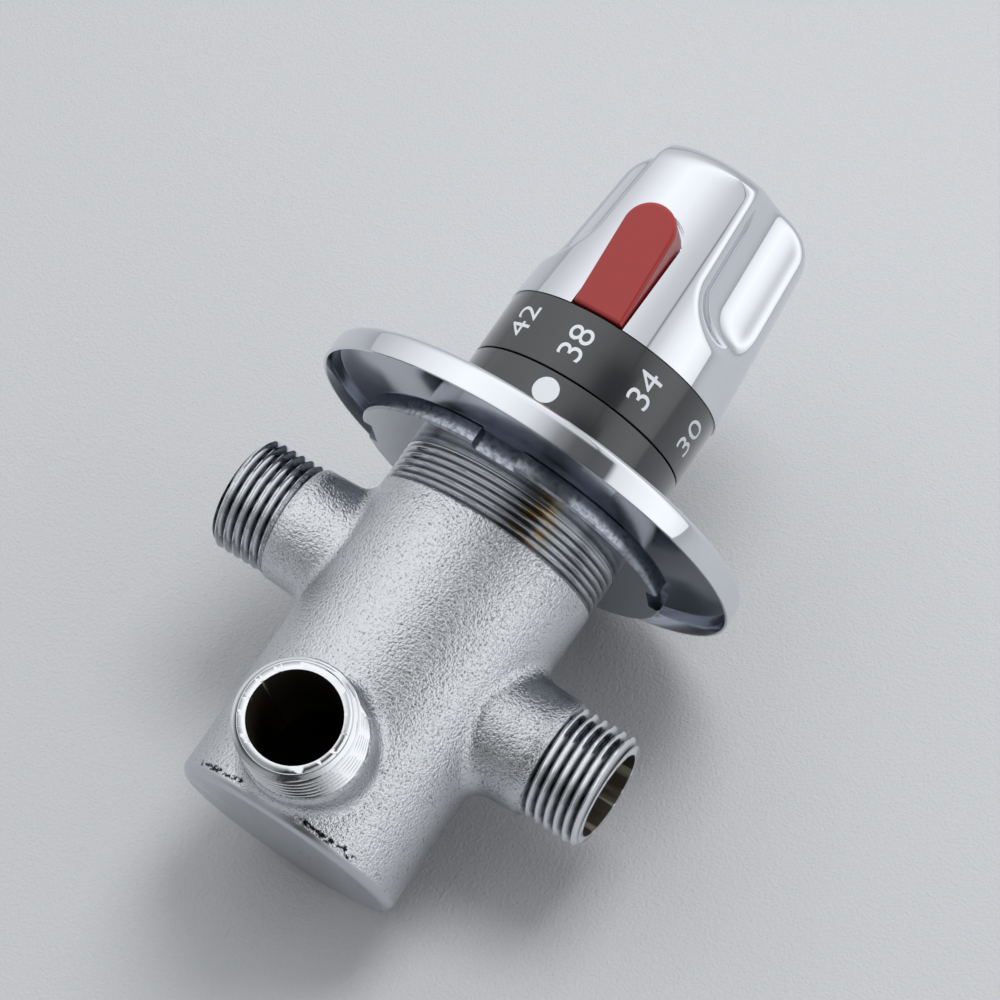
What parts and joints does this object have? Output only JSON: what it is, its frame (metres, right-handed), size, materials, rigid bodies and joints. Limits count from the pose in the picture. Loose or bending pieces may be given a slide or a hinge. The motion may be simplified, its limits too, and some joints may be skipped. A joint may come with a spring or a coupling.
{
  "type": "concealed shower mixer valve",
  "caption": "Wall-mounted temperature mixing valve: cast body with two inlets and an outlet, ring nut, trim plate, wax cartridge and a fluted knob with a safety button.",
  "frame": {"origin": "the spindle axis in the plane of the wall, where the back rim of the trim plate rests", "axes": "+Y runs along the spindle into the wall, +Z along the outlet, +X along the cold inlet; the knob looks along -Y"},
  "size_m": [0.0828, 0.1381, 0.0828],
  "materials": {
    "cast_chrome": "chrome plate over a sand-blasted brass casting, polished on the threads",
    "nut_chrome": "chrome plate, smooth on the faces and grainy on the edge",
    "trim_chrome": "polished chrome plate on spun sheet",
    "knob_chrome": "polished chrome plate on moulded plastic",
    "black_plastic": "satin black moulded plastic with pale printed numbers",
    "red_plastic": "red moulded plastic",
    "white_plastic": "pale moulded plastic",
    "turned_brass": "turned brass",
    "copper_wax": "copper capsule",
    "spring_steel": "bright spring steel",
    "steel_mesh": "fine steel mesh",
    "black_rubber": "black rubber"
  },
  "bodies": {
    "valve": {"valve_body": "cast_chrome", "ring_nut": "nut_chrome", "trim_plate": "trim_chrome", "trim_seal": "black_rubber", "cartridge_sleeve": "turned_brass", "sleeve_seals": "black_rubber", "spring_seat": "turned_brass", "hot_seat": "turned_brass", "cold_seat": "turned_brass", "return_spring": "spring_steel", "cartridge_bonnet": "turned_brass", "bonnet_seal": "black_rubber", "index_ring": "black_plastic", "stop_ring": "white_plastic", "hot_check_cage": "white_plastic", "hot_check_spring": "spring_steel", "hot_strainer": "steel_mesh", "cold_check_cage": "white_plastic", "cold_check_spring": "spring_steel", "cold_strainer": "steel_mesh"},
    "knob": {"spindle": "turned_brass", "spindle_seals": "black_rubber", "spindle_clip": "spring_steel", "scale_ring": "black_plastic", "knob_shell": "knob_chrome", "knob_insert": "white_plastic", "knob_screw": "spring_steel", "button_pin": "spring_steel", "button_spring": "spring_steel"},
    "button": {"safety_button": "red_plastic"},
    "regulator": {"shuttle": "turned_brass", "shuttle_seal": "black_rubber", "wax_element": "copper_wax", "piston": "spring_steel", "piston_cap": "turned_brass", "overtravel_spring": "spring_steel", "spindle_nut": "turned_brass", "nut_clip": "spring_steel"},
    "hot_poppet": {"hot_check_poppet": "white_plastic"},
    "cold_poppet": {"cold_check_poppet": "white_plastic"}
  },
  "joints": [
    {"name": "knob_turn", "type": "hinge", "parent": "valve", "child": "knob", "pos_m": [0, -0.03, 0], "axis": [0, -1, 0], "range_deg": [-110, 36]},
    {"name": "shuttle_slide", "type": "slide", "parent": "valve", "child": "regulator", "axis": [0, -1, 0], "range_m": [-0.00062, 0.00021], "deforming": ["return_spring"]},
    {"name": "button_press", "type": "hinge", "parent": "knob", "child": "button", "pos_m": [0.00129, -0.0299, 0.01555], "axis": [0.9966, 0, -0.0828], "range_deg": [0, 7], "stiffness_Nm_per_rad": 0.15, "springref_deg": -5.73, "deforming": ["button_spring"]},
    {"name": "hot_check_slide", "type": "slide", "parent": "valve", "child": "hot_poppet", "axis": [1, 0, 0], "range_m": [0, 0.0022], "stiffness_N_per_m": 40, "springref_m": -0.002, "deforming": ["hot_check_spring"]},
    {"name": "cold_check_slide", "type": "slide", "parent": "valve", "child": "cold_poppet", "axis": [-1, 0, 0], "range_m": [0, 0.0022], "stiffness_N_per_m": 40, "springref_m": -0.002, "deforming": ["cold_check_spring"]}
  ],
  "couplings": [
    {"joint": "shuttle_slide", "follows": "knob_turn", "m_per_rad": 0.00031831}
  ]
}
